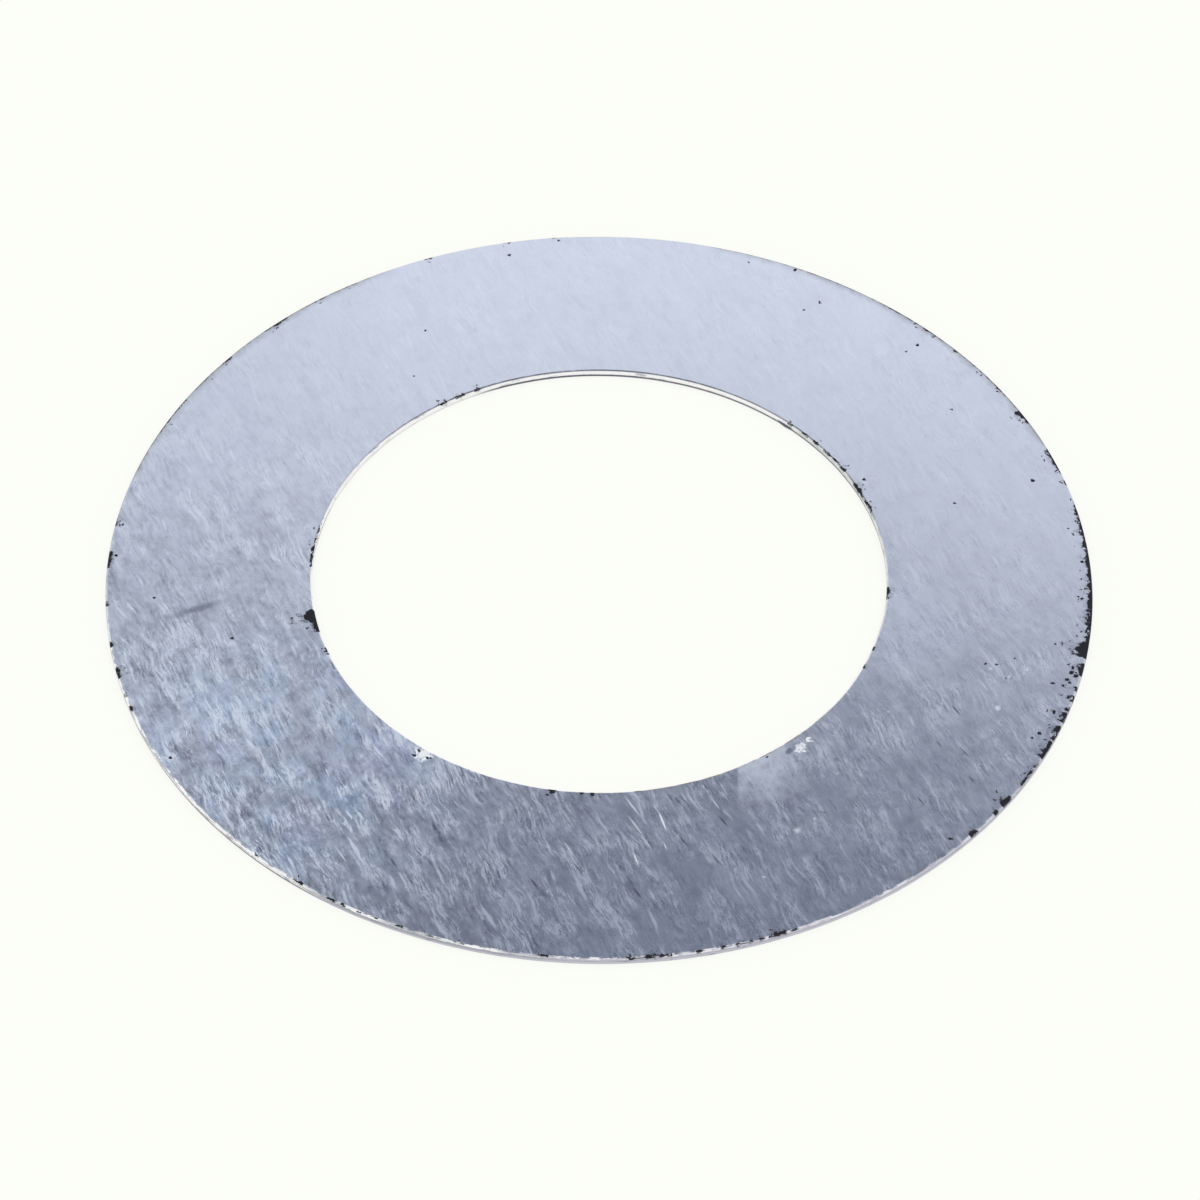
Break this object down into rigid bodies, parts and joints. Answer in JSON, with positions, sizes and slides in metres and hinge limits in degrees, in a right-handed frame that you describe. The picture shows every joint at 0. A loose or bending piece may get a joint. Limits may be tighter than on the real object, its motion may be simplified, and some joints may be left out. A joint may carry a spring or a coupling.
{
  "type": "shim ring",
  "caption": "Flat steel shim ring with a plain bore, blanked from sheet and ground on both faces.",
  "frame": {"origin": "centre of the underside, which the ring lies on", "axes": "+Z along the bore axis, from the underside to the rolled-edge face; +X through the right of the ring as seen from its front"},
  "size_m": [0.12, 0.12, 0.001],
  "materials": {
    "ground_steel": "ground, with black mill scale left at the edges"
  },
  "bodies": {
    "root": {"shim_ring": "ground_steel"}
  },
  "joints": []
}
